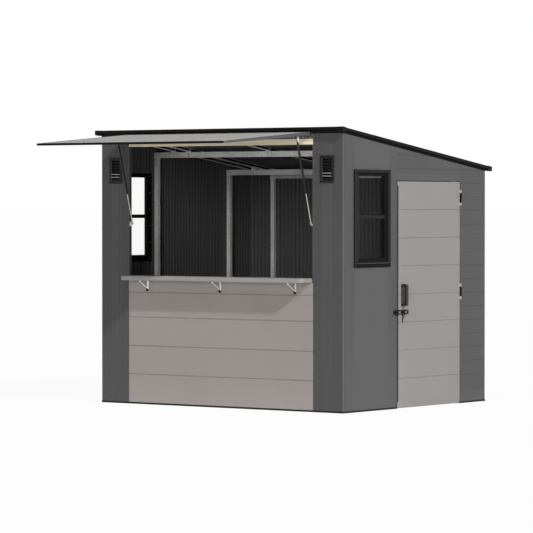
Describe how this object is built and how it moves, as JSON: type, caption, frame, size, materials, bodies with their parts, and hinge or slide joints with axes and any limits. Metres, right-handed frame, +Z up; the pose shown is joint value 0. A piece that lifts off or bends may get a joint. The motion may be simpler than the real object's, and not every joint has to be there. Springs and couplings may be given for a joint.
{
  "type": "resin shed with a serving hatch",
  "caption": "Pent-roof resin shed with a gas-strut serving flap over a shelf counter, side windows, vents and a side door, on a moulded floor.",
  "frame": {"origin": "centre of the footprint, on the ground", "axes": "+Z up, the serving front faces -Y, +X towards the side with the door"},
  "size_m": [2.532, 3.2407, 2.2379],
  "materials": {
    "dark_resin": "moulded resin, fine vertical ribs or boards",
    "greige_resin": "moulded resin with a low wood grain",
    "tan_header": "satin resin",
    "floor_resin": "matt moulded resin",
    "black_roof": "satin moulded resin",
    "window_resin": "satin moulded resin",
    "window_glass": "clear acrylic pane",
    "galvanised_steel": "galvanised",
    "grey_frame": "satin powder coat",
    "black_metal": "satin powder coat",
    "strut_black": "gloss paint",
    "strut_rod": "polished"
  },
  "bodies": {
    "shell": {"floor_left": "floor_resin", "floor_middle": "floor_resin", "floor_right": "floor_resin", "front_corner_left": "dark_resin", "front_corner_right": "dark_resin", "front_lower_panel": "greige_resin", "front_header": "tan_header", "left_wall_front": "dark_resin", "left_wall_back": "dark_resin", "right_wall_front": "dark_resin", "right_wall_over_door": "dark_resin", "right_wall_back": "dark_resin", "back_wall_left": "dark_resin", "back_wall_right": "dark_resin", "roof_panel_left": "black_roof", "roof_panel_middle": "black_roof", "roof_panel_right": "black_roof", "roof_trim_front": "black_roof", "roof_trim_back": "black_roof", "roof_trim_sides": "black_roof", "window_frame_left": "window_resin", "window_glass_left": "window_glass", "window_frame_right": "window_resin", "window_glass_right": "window_glass", "vents": "window_resin", "counter": "greige_resin", "counter_brackets": "galvanised_steel", "side_posts": "galvanised_steel", "back_posts": "galvanised_steel", "cross_beams": "galvanised_steel", "rafters": "galvanised_steel", "door_hinges": "black_metal", "hasp_staple": "black_metal", "flap_hinges": "galvanised_steel", "strut_feet": "galvanised_steel"},
    "door": {"door_panel": "greige_resin", "door_handle": "black_metal", "hasp_strap": "black_metal"},
    "flap": {"flap_panel": "greige_resin", "flap_frame": "grey_frame", "flap_fittings": "galvanised_steel"},
    "strut_cylinder_left": {"strut_cylinder_left": "strut_black"},
    "strut_cylinder_right": {"strut_cylinder_right": "strut_black"},
    "strut_rod_left": {"strut_rod_left": "strut_rod"},
    "strut_rod_right": {"strut_rod_right": "strut_rod"}
  },
  "joints": [
    {"name": "door_swing", "type": "hinge", "parent": "shell", "child": "door", "pos_m": [1.234, 0.627, 0], "axis": [0, 0, 1], "range_deg": [0, 105]},
    {"name": "flap_swing", "type": "hinge", "parent": "shell", "child": "flap", "pos_m": [0, -1.042, 2.185], "axis": [1, 0, 0], "range_deg": [0, 85.5]},
    {"name": "strut_pivot_left", "type": "hinge", "parent": "flap", "child": "strut_cylinder_left", "pos_m": [-0.902, -1.18793, 2.12737], "axis": [1, 0, 0], "range_deg": [-102.08, 0]},
    {"name": "strut_slide_left", "type": "slide", "parent": "strut_cylinder_left", "child": "strut_rod_left", "axis": [0, -0.2735, 0.9619], "range_m": [0, 0.11891]},
    {"name": "strut_pivot_right", "type": "hinge", "parent": "flap", "child": "strut_cylinder_right", "pos_m": [0.902, -1.18793, 2.12737], "axis": [1, 0, 0], "range_deg": [-102.08, 0]},
    {"name": "strut_slide_right", "type": "slide", "parent": "strut_cylinder_right", "child": "strut_rod_right", "axis": [0, -0.2735, 0.9619], "range_m": [0, 0.11891]}
  ],
  "couplings": [
    {"joint": "strut_pivot_left", "follows": "flap_swing", "ratio": -1.1916},
    {"joint": "strut_slide_left", "follows": "flap_swing", "m_per_rad": 0.079351},
    {"joint": "strut_pivot_right", "follows": "flap_swing", "ratio": -1.1916},
    {"joint": "strut_slide_right", "follows": "flap_swing", "m_per_rad": 0.079351}
  ]
}
